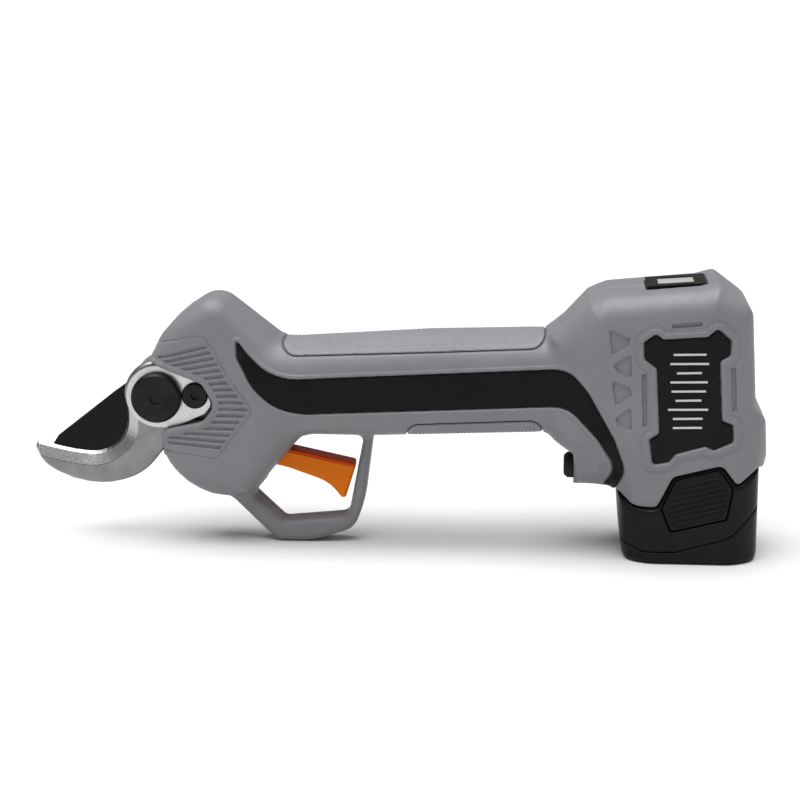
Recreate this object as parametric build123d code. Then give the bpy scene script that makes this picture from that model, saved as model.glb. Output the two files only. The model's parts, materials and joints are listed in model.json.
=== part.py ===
from build123d import *
import os
from math import atan2, cos, radians, sin

os.makedirs("parts", exist_ok=True)

# All sizes are millimetres. X runs from the blade tip (-) to the battery (+), Z is up,
# and the left side of the tool is -Y. The tool rests on its guard and its battery at Z = 0.

# Body
HEAD_HALF_WIDTH = 15.5
HANDLE_HALF_WIDTH = 18.0
BLOCK_HALF_WIDTH = 25.5
GUARD_HALF_WIDTH = 6.0
WALL = 3.0
PAD_THICKNESS = 1.5
INLAY_THICKNESS = 1.0
FIT_GAP = 0.3

# Drive line: one axis through motor, gearbox and pinion, aimed at the blade pivot.
PIVOT_X = -94.9
PIVOT_Z = 61.0
DRIVE_TILT = 2.5
MOTOR_RADIUS = 14.0
GEARBOX_RADIUS = 12.2
PINION_SHAFT_RADIUS = 3.0
RUNNING_GAP = 0.05

# Bevel pair with its common cone tip at the pivot.
PINION_TEETH = 12
GEAR_TEETH = 36
TOOTH_MODULE = 1.0
TOE_SCALE = 0.66
SECTOR_LOW_ANGLE = -14
SECTOR_HIGH_ANGLE = 68

# Blades
FIXED_BLADE_Y = (-8.6, -4.6)
MOVING_BLADE_Y = (-4.5, -1.3)
FIXED_HUB_RADIUS = 13.8
MOVING_HUB_RADIUS = 11.0
BUSH_RADIUS = 6.0
BOLT_RADIUS = 4.0
DOWEL_RADIUS = 1.2
DOWEL_CIRCLE = 7.7

# Trigger
TRIGGER_PIVOT = (-54.6, 40.0)
TRIGGER_HALF_WIDTH = 5.0
TRIGGER_SLOT_HALF_WIDTH = 5.6

# Battery: four 18650 cells standing upright.
CELL_RADIUS = 9.2
CELL_LENGTH = 65.0
CELL_PITCH = 18.8
BATTERY_HALF_WIDTH = 25.0
STEM_CENTRE_X = 115.0
STEM_LENGTH = 41.0
STEM_HALF_WIDTH = 20.4
STEM_TOP = 77.0
SEAT_GAP = 0.4
BATTERY_CORNER_RADIUS = 16.0
LATCH_AXIS = (-23.6, 15.5)

# Power button
BUTTON_HEIGHT = 33.1
BUTTON_RADIUS = 5.2

# Display
DISPLAY_CENTRE = (109.0, 107.75)
DISPLAY_TILT = 4.2
DISPLAY_LENGTH = 23.0
DISPLAY_HALF_WIDTH = 10.5

# Outlines are closed runs of (x, z, corner radius).
HEAD_OUTLINE = [
    (-99.2, 71, 1), (-97.4, 77.6, 8), (-92.6, 86.9, 20), (-83.4, 95.7, 20), (-71, 103, 15), (-43.4, 82.4, 12),
    (-30, 83.2, 0), (-30, 44.3, 0), (-36.6, 44.3, 4), (-58.4, 20.8, 1),
    (-72.5, 19.8, 8), (-84, 25.2, 14), (-91.2, 33.6, 10), (-95.6, 44, 3),
]
HANDLE_OUTLINE = [
    (-50, 60, 2), (-50, 82.5, 5), (60, 90, 5), (80, 92, 5),
    (80, 52, 5), (59.5, 48.3, 4), (-8, 45.6, 4), (-40, 46, 8),
]
BLOCK_OUTLINE = [
    (60, 89.6, 3), (75.2, 102.2, 2), (82.5, 105.3, 8), (117.5, 108.6, 6), (124.5, 110.6, 3),
    (137.6, 100.4, 5), (140.2, 62, 6), (144.2, 57.8, 4), (145.7, 40.5, 4), (143.3, 29, 1),
    (100, 18, 3), (87, 19.8, 3), (84.5, 22.4, 2), (71.8, 24.8, 2), (69.7, 41.5, 2), (59, 47.8, 2),
]
GUARD_OUTLINE = [
    (-74, 24, 2), (-67, 18.2, 2), (-48.5, 0, 4), (-34, 0, 14), (-17, 5.7, 9), (-12.2, 17.5, 20),
    (-8.2, 46, 4), (-8, 52, 2), (-74, 52, 2),
]
GUARD_OPENING = [(-58.4, 20.8, 2), (-45.9, 8, 3), (-19.5, 11.2, 4), (-13.2, 44.5, 4), (-36.6, 44.3, 10)]
TRIGGER_SLOT = [(-64, 45.8, 1), (-64, 31, 1), (-52, 26.5, 1), (-36.8, 43, 1), (-38, 45.8, 1)]
HEAD_WINDOW = [
    (-106, 75.6, 1), (-95, 74.2, 2), (-76, 67.8, 3), (-71.6, 58, 3),
    (-75.5, 53, 3), (-93.4, 47.4, 2), (-94, 38, 0.5), (-106, 38, 0.5),
]
STRIPE_OUTLINE = [
    (-62, 84.5, 1), (-60, 72.5, 8), (-40, 56, 9), (66, 61.3, 10), (83.8, 41.5, 8), (80.4, 27.6, 1),
    (86.4, 26.2, 1), (90.3, 38, 9), (70, 77, 10), (-44, 70.2, 9),
]
LABEL_OUTLINE = [
    (96, 88.6, 1), (101, 92.2, 2), (120.4, 91.2, 1), (124.4, 95, 2), (129.6, 86.4, 2),
    (125, 81.6, 1), (126.6, 58.9, 1), (131.8, 56.6, 2), (130.8, 48.8, 2), (121.6, 48.4, 1),
    (108, 44.6, 2), (101, 40.6, 2), (99, 52.6, 1), (102.8, 54, 1), (101.2, 79.2, 1), (96.2, 82.6, 1),
]
TOP_PAD_OUTLINE = [(-43.6, 92, 1), (-43.4, 82, 5), (-34, 78.9, 4), (50, 82.8, 4), (59.4, 88, 2), (59, 95, 1)]
LOWER_PAD_OUTLINE = [(3.6, 43, 1), (6, 52.5, 3), (52, 55.2, 4), (58.8, 50.6, 3), (58.6, 44, 1)]
FIXED_BLADE_OUTLINE = [
    (-145.1, 40.6, 0.5), (-146.2, 38.4, 1), (-141.8, 31.2, 6), (-131, 25.5, 12), (-117, 23.6, 18),
    (-101.5, 28.6, 12), (-92.6, 40, 8), (-84, 46, 3), (-62.5, 46.5, 1), (-62.5, 52.2, 1),
    (-83.2, 51.4, 1), (-83.6, 69.4, 1), (-62.5, 71.2, 1), (-62.5, 77.4, 1), (-90, 75.6, 8),
    (-108.6, 70, 1), (-108.4, 44.6, 9), (-118, 36.4, 10), (-130, 37.2, 8),
]
MOVING_BLADE_OUTLINE = [
    (-140.2, 37.6, 0.4), (-137.2, 42.4, 1), (-113.4, 61.2, 6), (-101, 70.2, 6), (-90, 66, 4), (-90, 52, 4),
    (-102.6, 46, 6), (-114, 35.4, 14), (-128, 34.4, 10),
]
HEAD_PLATE_OUTLINE = [
    (-95, 73.4, 0.5), (-76.4, 66.8, 3), (-73.2, 58, 3), (-76, 54.4, 3), (-89, 48.4, 3), (-95, 48.6, 0.5),
]
TRIGGER_OUTLINE = [
    (-59.6, 43, 3), (-52, 45.4, 2), (-43, 38.6, 3), (-16.6, 32.9, 1.5), (-16.9, 30.5, 1),
    (-20.9, 18, 1.2), (-27.5, 24.6, 4), (-44, 30.2, 8), (-58.6, 34, 4),
]
BATTERY_OUTLINE = [
    (88.2, 25.6, 1), (90.4, 0, 3), (143.6, 0, 3), (143.2, 31, 1), (139.4, 36.6, 1), (133.7, 31.8, 2),
    (127.4, 40.2, 3), (109, 35.4, 3), (103, 22.6, 2), (94, 22.8, 2),
]
BASE_CAP_OUTLINE = [
    (86, 9.6, 1), (97.2, 4.8, 6), (111, 5.1, 6), (131, 10.8, 8), (146, 25.5, 1), (148, -2, 1), (86, -2, 1),
]
LATCH_OUTLINE = [
    (108.6, 13.2, 1.5), (130, 18.6, 1.5), (132, 31, 2), (126.6, 38.6, 2), (110, 34.2, 2), (104.8, 22.6, 2),
]

# Screw centres (x, z) and how deep each counterbore's floor lies from the middle plane.
HOUSING_SCREWS = [
    (-83, 85, 11), (-63, 89, 11), (-83, 33, 11), (-66, 25, 11), (24, 77.8, 13),
    (24, 56.8, 13), (63, 82, 13), (63, 54, 13), (82, 96, 19), (132, 96, 17),
]

DRIVE = Pos(PIVOT_X, 0, PIVOT_Z) * Rot(0, -DRIVE_TILT, 0)
PIVOT = (PIVOT_X, PIVOT_Z)


# ---------------------------------------------------------------- general shapes


def profile(corners):
    """Flat face in the XZ plane from (x, z, corner radius) corners."""
    points = [(x, z) for x, z, _ in corners]
    corner_radii = [radius for _, _, radius in corners]
    outline = FilletPolyline(*points, radius=corner_radii, close=True)
    return Plane.XZ * make_face(outline)


def plate(face, y_low, y_high):
    """Solid with the given side profile between two Y positions."""
    return Pos(0, y_low, 0) * extrude(face, amount=y_high - y_low, dir=(0, 1, 0))


def soften(solid, radius):
    """Round the edges of a plate's two outermost side faces."""
    side_faces = solid.faces().filter_by(Axis.Y).sort_by(Axis.Y)
    return fillet(side_faces[0].edges() + side_faces[-1].edges(), radius)


def cross_pin(centre, radius, y_low, y_high):
    """Cylinder along Y about an (x, z) centre."""
    length = y_high - y_low
    return Pos(centre[0], y_low + length / 2, centre[1]) * Rot(90, 0, 0) * Cylinder(radius, length)


def drum(radius, start, end):
    """Cylinder on the drive axis between two distances from the pivot."""
    return DRIVE * Pos((start + end) / 2, 0, 0) * Rot(0, 90, 0) * Cylinder(radius, end - start)


def tube(outer_radius, inner_radius, start, end):
    """Hollow cylinder on the drive axis."""
    return drum(outer_radius, start, end) - drum(inner_radius, start - 1, end + 1)


def block(x_range, y_range, z_range):
    """Box between pairs of limits."""
    size = [high - low for low, high in (x_range, y_range, z_range)]
    centre = [(high + low) / 2 for low, high in (x_range, y_range, z_range)]
    return Pos(*centre) * Box(*size)


def mirrored(shape):
    """The same shape on the other side of the middle plane."""
    return mirror(shape, about=Plane.XZ)


def wire(points, radius):
    """Round wire along a smooth curve through the given points."""
    path = Spline(*points)
    section = Plane(origin=path @ 0, z_dir=path % 0) * Circle(radius)
    return sweep(section, path=path)


# ---------------------------------------------------------------- housing


def rounded_part(corners, half_width, edge_radius, inset):
    """One softened piece of the body, shrunk by inset on every side."""
    face = profile(corners)
    if inset:
        face = offset(face, amount=-inset)
    solid = plate(face, -half_width + inset, half_width - inset)
    return soften(solid, max(edge_radius - inset, 0.6))


def block_plan(inset):
    """Top view of the rear block: flared at the front, narrowed at the back."""
    side = [(57, 17.5), (77, BLOCK_HALF_WIDTH), (129, BLOCK_HALF_WIDTH), (147, 20)]
    left = [(x, -y) for x, y in reversed(side)]
    face = make_face(Polyline(*side, *left, close=True))
    if inset:
        face = offset(face, amount=-inset)
    return extrude(face, amount=130)


def body(inset):
    """Head, handle and rear block, shrunk by inset on every side."""
    head = rounded_part(HEAD_OUTLINE, HEAD_HALF_WIDTH, 4.5, inset)
    handle = rounded_part(HANDLE_OUTLINE, HANDLE_HALF_WIDTH, 9, inset)
    rear_block = rounded_part(BLOCK_OUTLINE, BLOCK_HALF_WIDTH, 5, inset) & block_plan(inset)
    return head + handle + rear_block


def guard():
    """Solid finger guard loop."""
    loop = profile(GUARD_OUTLINE) - profile(GUARD_OPENING)
    return soften(plate(loop, -GUARD_HALF_WIDTH, GUARD_HALF_WIDTH), 2.2)


def skin(thickness):
    """Outer layer of the body, out of which pads and inlays are cut."""
    return body(0) - body(thickness)


def battery_well_walls():
    """Box wall inside the rear block that guides the battery stem."""
    half_length = STEM_LENGTH / 2 + SEAT_GAP + 2
    x_range = (STEM_CENTRE_X - half_length, STEM_CENTRE_X + half_length)
    return block(x_range, (-23.5, 23.5), (15, 78)) & body(0)


def battery_room():
    """Space the battery needs, with its seating gap."""
    half_length = STEM_LENGTH / 2 + SEAT_GAP
    x_range = (STEM_CENTRE_X - half_length, STEM_CENTRE_X + half_length)
    half_width = STEM_HALF_WIDTH + SEAT_GAP
    stem = block(x_range, (-half_width, half_width), (-5, 79))
    lower = plate(offset(profile(BATTERY_OUTLINE), amount=SEAT_GAP), -30, 30)
    lug = block((112, 123), (-22.8, -20), (34, 42))
    return stem + lower + lug + mirrored(lug)


def drive_cradle():
    """Ribs across the handle that hold the motor and the gearbox."""
    ribs = Part()
    for start in (41, 58, 74, 102):
        ribs += DRIVE * Pos(start + 1.5, 0, -8) * Box(3, 40, 40)
    ribs = ribs & body(WALL - 0.5)
    ribs -= drum(GEARBOX_RADIUS + RUNNING_GAP, 30, 67)
    ribs -= drum(MOTOR_RADIUS + RUNNING_GAP, 67, 120)
    cable_channel = block((-60, 80), (3.5, 13.5), (46.5, 54.5))
    sensor_room = block((-62, -45), (-7, 7), (45, 49.2))
    return ribs - cable_channel - sensor_room - cross_pin(TRIGGER_PIVOT, 8, -9.2, 9.2)


def screw_posts():
    """Posts that meet at the middle plane, one pair per housing screw."""
    posts = Part()
    for x, z, _ in HOUSING_SCREWS:
        posts += cross_pin((x, z), 3.3, -BLOCK_HALF_WIDTH, BLOCK_HALF_WIDTH)
    posts = posts & body(PAD_THICKNESS + 0.5)
    return posts - drum(GEARBOX_RADIUS + 0.4, 20, 68) - drum(MOTOR_RADIUS + 0.4, 66, 114)


def screw_holes():
    """Holes and counterbores for the housing screws, driven from the right side."""
    holes = Part()
    for x, z, seat in HOUSING_SCREWS:
        holes += cross_pin((x, z), 1.5, -seat + 4, seat)
        holes += cross_pin((x, z), 2.8, seat, BLOCK_HALF_WIDTH + 2)
    return holes


def trigger_posts():
    """Posts beside the trigger that carry its pin."""
    left = cross_pin(TRIGGER_PIVOT, 4, -HEAD_HALF_WIDTH + 1, -9.2)
    pin_room = cross_pin(TRIGGER_PIVOT, 1.5 + RUNNING_GAP, -14, 14)
    return left + mirrored(left) - pin_room


def head_openings():
    """Slot for the blades and a window over the head plate on each side."""
    blade_slot = block((-112, -84), (-8.9, 12.4), (30, 80))
    window = plate(profile(HEAD_WINDOW), -20, -8.65)
    nut_window = plate(profile(HEAD_WINDOW), 12.35, 20)
    return blade_slot + window + nut_window


def small_openings():
    """Trigger slot, power button hole and display recess."""
    slot = plate(profile(TRIGGER_SLOT), -TRIGGER_SLOT_HALF_WIDTH, TRIGGER_SLOT_HALF_WIDTH)
    button = Pos(70, 0, BUTTON_HEIGHT) * Rot(0, 90, 0) * Cylinder(BUTTON_RADIUS + FIT_GAP, 12)
    flange_room = Pos(79.7, 0, BUTTON_HEIGHT) * Rot(0, 90, 0) * Cylinder(7.0, 10)
    return slot + button + flange_room + display_box(FIT_GAP / 2, -4.5, 3)


def pads_and_inlays():
    """Room in the housing for everything that is set flush into its surface."""
    pads = plate(profile(TOP_PAD_OUTLINE), -20, 20) + plate(profile(LOWER_PAD_OUTLINE), -20, 20)
    pad_room = pads & skin(PAD_THICKNESS)
    outlines = plate(profile(STRIPE_OUTLINE), -30, 30) + plate(profile(LABEL_OUTLINE), -30, 30)
    return pad_room + (outlines & skin(INLAY_THICKNESS))


def housing():
    """Both housing halves before they are split."""
    shell = body(0) + guard() - body(WALL)
    shell += drive_cradle()
    shell += screw_posts()
    shell += trigger_posts()
    shell += battery_well_walls()
    shell -= battery_room()
    shell -= head_openings()
    shell -= small_openings()
    shell -= pads_and_inlays()
    return shell


def housing_half(shell, side):
    """One half of the shell: side is -1 for the left half and 1 for the right one."""
    limits = (-40, -0.02) if side < 0 else (0.02, 40)
    room = block((-160, 160), limits, (-10, 130))
    return (shell & room) - screw_holes()


def top_pad():
    """Soft pad over the top of the handle."""
    return plate(profile(TOP_PAD_OUTLINE), -20, 20) & skin(PAD_THICKNESS)


def lower_pad():
    """Soft pad under the handle."""
    return plate(profile(LOWER_PAD_OUTLINE), -20, 20) & skin(PAD_THICKNESS)


def side_inlay(corners):
    """Thin inlay in the left side surface."""
    return plate(profile(corners), -30, -6) & skin(INLAY_THICKNESS)


def housing_screws():
    """All housing screws, driven from the right side."""
    screws = Part()
    for x, z, seat in HOUSING_SCREWS:
        screws += cross_pin((x, z), 1.4, -seat + 5, seat)
        head = cross_pin((x, z), 2.6, seat, seat + 1.8)
        screws += head - cross_pin((x, z), 1.1, seat + 0.8, seat + 3)
    return screws


# ---------------------------------------------------------------- display


def display_box(margin, depth, height):
    """Tilted box around the display, grown by margin in the display's plane."""
    centre = Pos(DISPLAY_CENTRE[0], 0, DISPLAY_CENTRE[1]) * Rot(0, -DISPLAY_TILT, 0)
    length = DISPLAY_LENGTH + 2 * margin
    width = 2 * (DISPLAY_HALF_WIDTH + margin)
    return centre * Pos(0, 0, (depth + height) / 2) * Box(length, width, height - depth)


def display_bezel():
    """Frame round the display window."""
    frame = display_box(0, -2.5, 1.0)
    window = display_box(-4.5, -4, 3)
    return frame - window


def display_lens():
    """Clear window with the display module under it."""
    return display_box(-4.6, -2.4, 0.6)


def display_board():
    """Display circuit board under the bezel."""
    board = display_box(-0.6, -4.2, -2.7)
    chip = display_box(-8, -5.2, -4.2)
    return board + chip


# ---------------------------------------------------------------- head and blades


def fixed_blade():
    """Hooked lower blade with two tails that clamp to the bearing block."""
    low, high = FIXED_BLADE_Y
    blade = plate(profile(FIXED_BLADE_OUTLINE), low, high) + cross_pin(PIVOT, FIXED_HUB_RADIUS, low, high)
    pinion_room = DRIVE * Pos(23.5, 0, 0) * Box(24, 40, 17.4)
    blade -= pinion_room
    for height in (-12, 12):
        blade -= drive_cross_hole(28, height, 1.55, low - 1, high + 1)
    return blade - cross_pin(PIVOT, BUSH_RADIUS + RUNNING_GAP, low - 1, high + 1)


def drive_cross_hole(along, height, radius, y_low, y_high):
    """Cylinder along Y placed by its distance along and above the drive axis."""
    centre = Pos(along, (y_low + y_high) / 2, height)
    return DRIVE * centre * Rot(90, 0, 0) * Cylinder(radius, y_high - y_low)


def dowel_centres():
    """Centres of the three dowels round the pivot."""
    centres = []
    for degrees_round in (90, 210, 330):
        angle = radians(degrees_round)
        centres.append((PIVOT_X + DOWEL_CIRCLE * cos(angle), PIVOT_Z + DOWEL_CIRCLE * sin(angle)))
    return centres


def moving_blade():
    """Curved upper blade on the pivot hub."""
    low, high = MOVING_BLADE_Y
    blade = plate(profile(MOVING_BLADE_OUTLINE), low, high) + cross_pin(PIVOT, MOVING_HUB_RADIUS, low, high)
    for centre in dowel_centres():
        blade -= cross_pin(centre, DOWEL_RADIUS + 0.02, low - 1, high + 1)
    return blade - cross_pin(PIVOT, BUSH_RADIUS + 0.02, low - 1, high + 1)


def blade_dowels():
    """Pins that key the moving blade to the gear sector."""
    pins = Part()
    for centre in dowel_centres():
        pins += cross_pin(centre, DOWEL_RADIUS, MOVING_BLADE_Y[0] + 0.2, 2)
    return pins


def pivot_bush():
    """Bronze sleeve on which the moving parts turn."""
    return cross_pin(PIVOT, BUSH_RADIUS, -8.6, 9.75) - cross_pin(PIVOT, BOLT_RADIUS + RUNNING_GAP, -9, 10)


def bevel_tooth(axial, pitch_radius):
    """Straight bevel tooth on a cone about Z with its tip at the origin."""
    cone_angle = atan2(pitch_radius, axial)
    widths_by_height = ((-1.3, 0.78), (0.8, 0.32))
    corners = []
    for height, half_width in widths_by_height:
        radius = pitch_radius + height * TOOTH_MODULE * cos(cone_angle)
        level = axial - height * TOOTH_MODULE * sin(cone_angle)
        corners.append((radius, half_width, level))
        corners.append((radius, -half_width, level))
    root_a, root_b, tip_a, tip_b = corners
    heel = make_face(Polyline(root_a, root_b, tip_b, tip_a, close=True))
    return loft([heel, scale(heel, by=TOE_SCALE)], ruled=True)


def cone_root(axial, pitch_radius):
    """Radius and level of the tooth root at the heel, for the blank under the teeth."""
    cone_angle = atan2(pitch_radius, axial)
    return pitch_radius - 1.25 * TOOTH_MODULE * cos(cone_angle), axial + 1.25 * TOOTH_MODULE * sin(cone_angle)


def bevel_pinion():
    """Bevel pinion with its shaft, on the drive axis."""
    gear_radius = GEAR_TEETH * TOOTH_MODULE / 2
    pitch_radius = PINION_TEETH * TOOTH_MODULE / 2
    root_radius, root_level = cone_root(gear_radius, pitch_radius)
    blank = Pos(0, 0, root_level * (1 + TOE_SCALE) / 2) * Cone(
        root_radius * TOE_SCALE, root_radius, root_level * (1 - TOE_SCALE)
    )
    for index in range(PINION_TEETH):
        blank += Rot(0, 0, index * 360 / PINION_TEETH + 90) * bevel_tooth(gear_radius, pitch_radius)
    shaft = Pos(0, 0, root_level + 12.8) * Cylinder(PINION_SHAFT_RADIUS, 25.6)
    collar = Pos(0, 0, root_level + 1.2) * Cylinder(root_radius, 2.4)
    return DRIVE * Rot(0, 90, 0) * (blank + collar + shaft)


def sector_wedge():
    """Wedge, in the gear's own frame, that keeps the toothed part of the gear."""
    reach = 30
    low = radians(SECTOR_LOW_ANGLE)
    high = radians(SECTOR_HIGH_ANGLE)
    middle = (low + high) / 2
    points = [(0, 0)] + [(reach * cos(a), reach * sin(a)) for a in (low, middle, high)]
    return extrude(make_face(Polyline(*points, close=True)), amount=40, both=True)


def gear_sector():
    """Bevel gear sector that turns the moving blade."""
    pitch_radius = GEAR_TEETH * TOOTH_MODULE / 2
    axial = PINION_TEETH * TOOTH_MODULE / 2
    root_radius, root_level = cone_root(axial, pitch_radius)
    rim = [
        (0, root_level * TOE_SCALE - 0.4),
        (root_radius * TOE_SCALE - 1, root_level * TOE_SCALE - 0.4),
        (root_radius * TOE_SCALE, root_level * TOE_SCALE),
        (root_radius, root_level),
        (root_radius, 9.75),
        (0, 9.75),
    ]
    blank = revolve(Plane.XZ * make_face(Polyline(*rim, close=True)), axis=Axis.Z) & sector_wedge()
    tooth_step = 360 / GEAR_TEETH
    for index in range(8):
        angle = SECTOR_LOW_ANGLE + 9 + index * tooth_step
        blank += Rot(0, 0, angle) * bevel_tooth(axial, pitch_radius)
    hub = Pos(0, 0, 4.3) * Cylinder(9.5, 10.9)
    gear = DRIVE * Rot(-90, 0, 0) * mirrored(blank + hub)
    for centre in dowel_centres():
        gear -= cross_pin(centre, DOWEL_RADIUS + 0.02, -2, 2.2)
    return gear - cross_pin(PIVOT, BUSH_RADIUS + 0.02, -3, 11)


def head_plate_left():
    """Bright plate over the fixed blade's hub."""
    cover = plate(profile(HEAD_PLATE_OUTLINE), -11.5, -8.7) + cross_pin(PIVOT, 12.4, -11.5, -8.7)
    cover -= cross_pin(PIVOT, BOLT_RADIUS + RUNNING_GAP, -12, -8)
    return cover - cross_pin((-79.6, 61.9), 2.05, -12, -8)


def head_plate_right():
    """Plate behind the gear sector, bolted to the bearing block."""
    cover = cross_pin(PIVOT, 13.4, 10.3, 12.3)
    cover += DRIVE * Pos(17, 11.3, 0) * Box(34, 2, 28)
    cover -= cross_pin(PIVOT, BOLT_RADIUS + RUNNING_GAP, 9, 13)
    for height in (-10, 10):
        cover -= drive_cross_hole(28, height, 2.7, 11.2, 13)
        cover -= drive_cross_hole(28, height, 1.55, 10, 13)
    return cover


def bearing_block():
    """Block behind the pinion: holds its bearings and ties the head together."""
    housing_block = DRIVE * Pos(28, 2.8, 0) * Box(12, 14.6, 30)
    housing_block += drum(8.3, 22, 34)
    housing_block -= drum(6.5 + 0.02, 20, 36)
    for height in (-12, 12):
        housing_block -= drive_cross_hole(28, height, 1.55, -6, 3)
    for height in (-10, 10):
        housing_block -= drive_cross_hole(28, height, 1.55, 4, 12)
    return housing_block


def pinion_bearings():
    """Two plain rings standing for the pinion's ball bearings."""
    outer = 6.5
    inner = PINION_SHAFT_RADIUS + RUNNING_GAP
    return tube(outer, inner, 22.2, 27.2) + tube(outer, inner, 28.8, 33.8)


def blade_clamp_screws():
    """Screws that clamp the fixed blade's tails."""
    screws = Part()
    for height in (-12, 12):
        screws += drive_cross_hole(28, height, 1.5, -8.65, 2.8)
        screws += drive_cross_hole(28, height, 2.8, -10.4, -8.65)
    return screws


def head_plate_screws():
    """Screws that hold the right head plate."""
    screws = Part()
    for height in (-10, 10):
        screws += drive_cross_hole(28, height, 1.5, 4.4, 11.25)
        screws += drive_cross_hole(28, height, 2.6, 11.25, 12.25)
    return screws


def pivot_bolt():
    """Bolt through the whole head."""
    return cross_pin(PIVOT, BOLT_RADIUS, -14.2, 16)


def pivot_cap():
    """Round dark cap on the pivot bolt, with a hexagon socket."""
    cap = cross_pin(PIVOT, 10, -15, -11.55)
    outer_edge = cap.edges().filter_by(GeomType.CIRCLE).sort_by(Axis.Y)[0]
    cap = chamfer(outer_edge, 0.8)
    hexagon = extrude(RegularPolygon(2.6, 6), amount=0.7, both=True)
    socket = Pos(PIVOT_X, -15, PIVOT_Z) * Rot(90, 0, 0) * hexagon
    return cap - socket - cross_pin(PIVOT, BOLT_RADIUS + 0.02, -14.22, -11)


def pivot_nut():
    """Hexagon nut on the right end of the pivot bolt."""
    nut = Pos(PIVOT_X, 12.4, PIVOT_Z) * Rot(-90, 0, 0) * extrude(RegularPolygon(7.2, 6), amount=3.2)
    return nut - cross_pin(PIVOT, BOLT_RADIUS + 0.02, 12, 17)


def pivot_washer():
    """Thrust washer between the gear sector and the right head plate."""
    return cross_pin(PIVOT, 8.5, 9.85, 10.2) - cross_pin(PIVOT, BOLT_RADIUS + 0.2, 9, 11)


def lock_screw():
    """Small screw that keeps the pivot from working loose."""
    centre = (-79.6, 61.9)
    screw = cross_pin(centre, 5.2, -13.3, -11.55) + cross_pin(centre, 2, -11.55, -8.8)
    outer_edge = screw.edges().filter_by(GeomType.CIRCLE).sort_by(Axis.Y)[0]
    screw = chamfer(outer_edge, 0.5)
    hexagon = extrude(RegularPolygon(1.7, 6), amount=1.2, both=True)
    socket = Pos(centre[0], -13.3, centre[1]) * Rot(90, 0, 0) * hexagon
    return screw - socket


# ---------------------------------------------------------------- drive


def planet_carrier():
    """Carrier disc with the three planet pins."""
    carrier = tube(9.2, PINION_SHAFT_RADIUS + 0.02, 40, 45.5)
    for index in range(3):
        carrier += DRIVE * Rot(index * 120, 0, 0) * Pos(53, 0, 6.1) * Rot(0, 90, 0) * Cylinder(1.2, 15.2)
    return carrier


def planet_gears():
    """Three planets as smooth pitch cylinders."""
    planets = Part()
    for index in range(3):
        place = DRIVE * Rot(index * 120, 0, 0) * Pos(53, 0, 6.1) * Rot(0, 90, 0)
        planets += place * (Cylinder(3.9, 12) - Cylinder(1.25, 14))
    return planets


def ring_gear():
    """Ring gear as a smooth pitch ring."""
    return tube(10.55, 10.08, 46.5, 59.5)


def gearbox_case():
    """Round gearbox can with a bored front wall."""
    case = drum(GEARBOX_RADIUS, 35, 67.8) - drum(10.6, 37.5, 70)
    return case - drum(PINION_SHAFT_RADIUS + 0.3, 34, 40)


def motor_can():
    """Motor can with a bored front wall."""
    can = drum(MOTOR_RADIUS, 68, 110) - drum(12.8, 70, 112)
    return can - drum(2.6, 66, 72)


def motor_stator():
    """Slotted stator stack."""
    stator = tube(12.75, 8.8, 74, 104)
    for index in range(12):
        stator -= DRIVE * Rot(index * 30, 0, 0) * Pos(89, 0, 10) * Box(40, 1.2, 3.2)
    return stator


def motor_rotor():
    """Magnet rotor."""
    return tube(8.3, 1.62, 75, 103)


def motor_shaft():
    """Motor shaft with the sun gear as a smooth pitch cylinder."""
    return drum(1.6, 60.5, 113) + drum(2.1, 47, 60.5)


def motor_end_bell():
    """Rear cover of the motor."""
    return tube(MOTOR_RADIUS, 1.75, 110.1, 112.4)


# ---------------------------------------------------------------- trigger and power button


def trigger():
    """Curved finger lever."""
    lever = plate(profile(TRIGGER_OUTLINE), -TRIGGER_HALF_WIDTH, TRIGGER_HALF_WIDTH)
    lever = soften(lever, 1.2)
    return lever - cross_pin(TRIGGER_PIVOT, 1.5 + RUNNING_GAP, -8, 8) - trigger_magnet()


def trigger_magnet():
    """Small magnet in the trigger's hub, read by the sensor above it."""
    return block((-56.5, -53.5), (-1.5, 1.5), (42.6, 44.6))


def trigger_pin():
    """Steel pin the trigger turns on."""
    return cross_pin(TRIGGER_PIVOT, 1.5, -12.4, 12.4)


def trigger_spring():
    """Torsion spring coiled round the trigger pin."""
    helix = Helix(pitch=0.95, height=3, radius=2.6)
    section = Plane(origin=helix @ 0, z_dir=helix % 0) * Circle(0.35)
    coil = sweep(section, path=helix, is_frenet=True)
    return Pos(TRIGGER_PIVOT[0], 8.75, TRIGGER_PIVOT[1]) * Rot(90, 0, 0) * coil


def sensor_board():
    """Board with the magnetic sensor above the trigger's hub."""
    board = block((-60, -46), (-6, 6), (47, 48.2))
    sensor = block((-56, -53), (-1.5, 1.5), (46.4, 47))
    return board + sensor


def power_button():
    """Round push button with its retaining flange."""
    centre_z = BUTTON_HEIGHT
    button = Pos(70.9, 0, centre_z) * Rot(0, 90, 0) * Cylinder(BUTTON_RADIUS, 8.4)
    front_edge = button.edges().filter_by(GeomType.CIRCLE).sort_by(Axis.X)[0]
    button = fillet(front_edge, 1.0)
    return button + Pos(75.4, 0, centre_z) * Rot(0, 90, 0) * Cylinder(6.4, 0.8)


def power_switch():
    """Tact switch on its board behind the power button."""
    board = block((78.6, 80), (-8, 8), (28.2, 41))
    switch = block((77.2, 78.6), (-3, 3), (30.1, 36.1))
    return board + switch


# ---------------------------------------------------------------- electronics


def control_board():
    """Main circuit board with its small parts."""
    board = block((80, 134), (-19, 19), (84, 85.6))
    chip = block((96, 104), (-4, 4), (85.6, 86.8))
    for index in range(6):
        y_low = -17 + index * 6
        board += block((106, 111), (y_low, y_low + 4), (85.6, 87))
    return board + chip


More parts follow.
